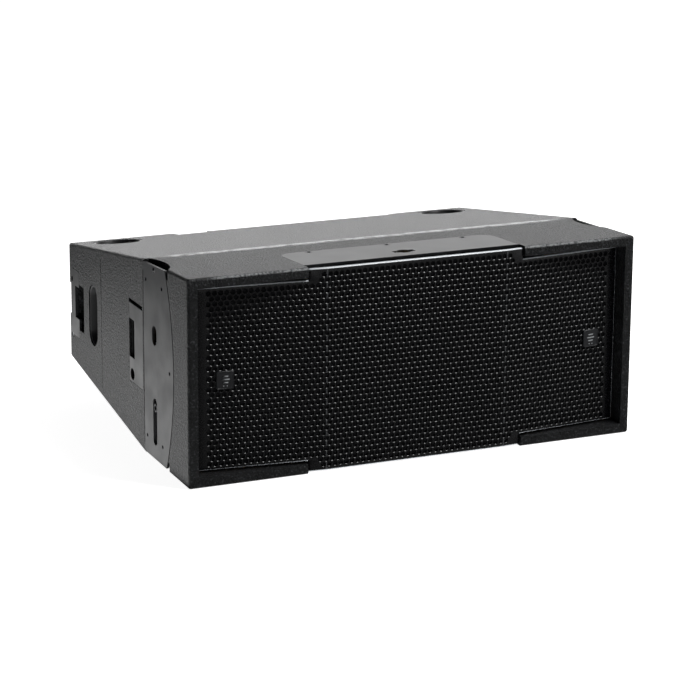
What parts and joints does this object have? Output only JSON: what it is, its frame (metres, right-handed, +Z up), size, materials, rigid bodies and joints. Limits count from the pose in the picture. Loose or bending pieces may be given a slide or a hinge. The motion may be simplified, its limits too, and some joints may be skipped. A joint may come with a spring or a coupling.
{
  "type": "line array speaker",
  "caption": "Wedge-shaped line array speaker with folded perforated grille, side rigging plates with sliding links, rear fold-out arms, pocket handles and stacking cups.",
  "frame": {"origin": "middle of the cabinet seen from above, level with the lowest edge of the front", "axes": "+Z up, +Y from the grille to the back, +X to the right seen from the front; the front face is upright"},
  "size_m": [0.714, 0.54, 0.3046],
  "materials": {
    "painted_ply": "textured polyurea paint on birch plywood",
    "bare_ply": "birch plywood stained black inside",
    "grille_steel": "perforated steel, semi-gloss black powder coat",
    "black_steel": "satin black powder coat",
    "bright_steel": "zinc plated",
    "chrome": "polished plate",
    "black_screw": "black oxide",
    "foam": "open-cell acoustic foam",
    "badge": "gloss with a plain pale frame",
    "black_plastic": "moulded, fine texture",
    "yellow_plastic": "moulded",
    "rubber": "matt",
    "ferrite": "ferrite magnet and steel plates",
    "cone_paper": "carbon-loaded paper cone",
    "circuit_board": "glass-epoxy board",
    "component": "wound coils and film capacitors"
  },
  "bodies": {
    "cabinet": {"top_front_panel": "painted_ply", "top_rear_panel": "painted_ply", "bottom_front_panel": "painted_ply", "bottom_rear_panel": "painted_ply", "left_cheek_panel": "painted_ply", "right_cheek_panel": "painted_ply", "left_side_panel": "painted_ply", "right_side_panel": "painted_ply", "left_rear_side_panel": "painted_ply", "right_rear_side_panel": "painted_ply", "rear_panel": "painted_ply", "left_inner_wall": "bare_ply", "right_inner_wall": "bare_ply", "left_baffle": "bare_ply", "right_baffle": "bare_ply", "grille": "grille_steel", "grille_foam": "foam", "left_badge": "badge", "right_badge": "badge", "top_plate": "black_steel", "left_rigging_plate": "black_steel", "right_rigging_plate": "black_steel", "latch_boxes": "black_steel", "left_rear_plate": "black_steel", "right_rear_plate": "black_steel", "rear_pockets": "black_steel", "connector_plate": "black_steel", "link_guides": "black_steel", "left_woofer_basket": "black_steel", "right_woofer_basket": "black_steel", "hinge_pins": "bright_steel", "panel_screws": "black_screw", "rigging_screws": "black_screw", "left_handle_cup": "black_plastic", "right_handle_cup": "black_plastic", "stacking_cups": "black_plastic", "sockets": "black_plastic", "hf_waveguide": "black_plastic", "angle_sensor_socket": "yellow_plastic", "rubber_feet": "rubber", "left_woofer_surround": "rubber", "right_woofer_surround": "rubber", "left_woofer_magnet": "ferrite", "right_woofer_magnet": "ferrite", "upper_compression_driver": "ferrite", "lower_compression_driver": "ferrite", "crossover_board": "circuit_board", "crossover_parts": "component"},
    "left_link": {"left_front_link": "bright_steel", "left_link_knob": "bright_steel"},
    "left_bolt": {"left_lock_bolt": "chrome"},
    "left_flap": {"left_latch_flap": "black_steel"},
    "left_arm": {"left_rear_link": "bright_steel"},
    "left_cone": {"left_woofer_cone": "cone_paper"},
    "right_link": {"right_front_link": "bright_steel", "right_link_knob": "bright_steel"},
    "right_bolt": {"right_lock_bolt": "chrome"},
    "right_flap": {"right_latch_flap": "black_steel"},
    "right_arm": {"right_rear_link": "bright_steel"},
    "right_cone": {"right_woofer_cone": "cone_paper"}
  },
  "joints": [
    {"name": "left_link_slide", "type": "slide", "parent": "cabinet", "child": "left_link", "axis": [0, 0, 1], "range_m": [-0.048, 0]},
    {"name": "left_bolt_pull", "type": "slide", "parent": "cabinet", "child": "left_bolt", "axis": [0, 1, 0], "range_m": [-0.008, 0.004]},
    {"name": "left_flap_hinge", "type": "hinge", "parent": "cabinet", "child": "left_flap", "pos_m": [-0.355, -0.09, 0.16], "axis": [0, 0, 1], "range_deg": [0, 100]},
    {"name": "left_arm_swing", "type": "hinge", "parent": "cabinet", "child": "left_arm", "pos_m": [-0.318, 0.255, 0.1], "axis": [-1, 0, 0], "range_deg": [0, 175]},
    {"name": "left_cone_travel", "type": "slide", "parent": "cabinet", "child": "left_cone", "axis": [-0.102, -0.9948, 0], "range_m": [-0.005, 0.005], "stiffness_N_per_m": 4000, "deforming": ["left_woofer_surround"]},
    {"name": "right_link_slide", "type": "slide", "parent": "cabinet", "child": "right_link", "axis": [0, 0, 1], "range_m": [-0.048, 0]},
    {"name": "right_bolt_pull", "type": "slide", "parent": "cabinet", "child": "right_bolt", "axis": [0, 1, 0], "range_m": [-0.008, 0.004]},
    {"name": "right_flap_hinge", "type": "hinge", "parent": "cabinet", "child": "right_flap", "pos_m": [0.355, -0.09, 0.16], "axis": [0, 0, -1], "range_deg": [0, 100]},
    {"name": "right_arm_swing", "type": "hinge", "parent": "cabinet", "child": "right_arm", "pos_m": [0.318, 0.255, 0.1], "axis": [-1, 0, 0], "range_deg": [0, 175]},
    {"name": "right_cone_travel", "type": "slide", "parent": "cabinet", "child": "right_cone", "axis": [0.102, -0.9948, 0], "range_m": [-0.005, 0.005], "stiffness_N_per_m": 4000, "deforming": ["right_woofer_surround"]}
  ]
}
